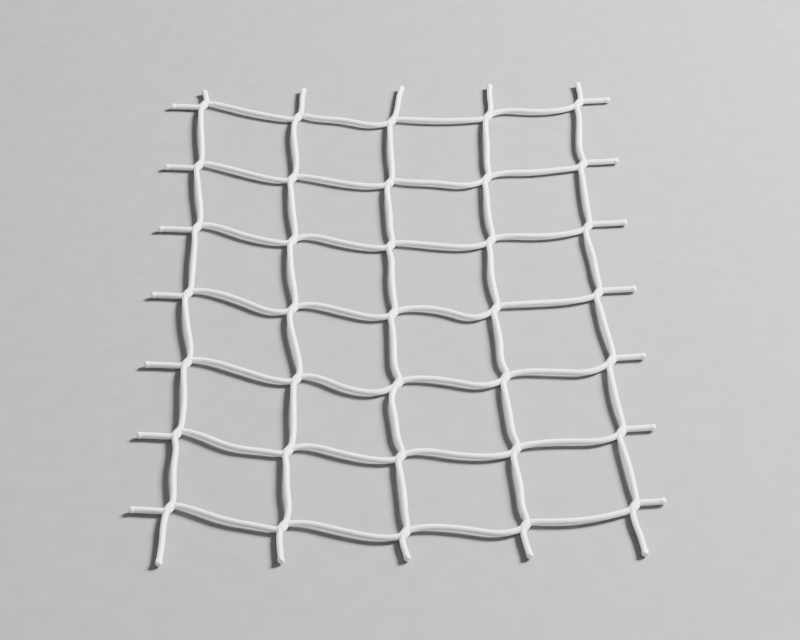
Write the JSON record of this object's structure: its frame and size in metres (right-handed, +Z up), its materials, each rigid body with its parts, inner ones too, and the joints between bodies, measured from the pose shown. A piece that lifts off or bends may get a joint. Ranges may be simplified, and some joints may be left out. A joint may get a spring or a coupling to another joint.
{
  "type": "tennis net panel",
  "caption": "Rectangular panel of knotless square-mesh tennis netting, white braided cords joined through each other where they cross.",
  "frame": {"origin": "under the middle of the panel, on the plane that the joints rest on", "axes": "+X along the weft cords to the right, +Y along the warp cords to the top edge, +Z up out of the panel"},
  "size_m": [0.2006, 0.3026, 0.0037],
  "materials": {
    "warp_braid": "satin",
    "weft_braid": "satin"
  },
  "bodies": {
    "root": {"warp_cord_1": "warp_braid", "warp_cord_2": "warp_braid", "warp_cord_3": "warp_braid", "warp_cord_4": "warp_braid", "warp_cord_5": "warp_braid", "weft_cord_1": "weft_braid", "weft_cord_2": "weft_braid", "weft_cord_3": "weft_braid", "weft_cord_4": "weft_braid", "weft_cord_5": "weft_braid", "weft_cord_6": "weft_braid", "weft_cord_7": "weft_braid"}
  },
  "joints": []
}
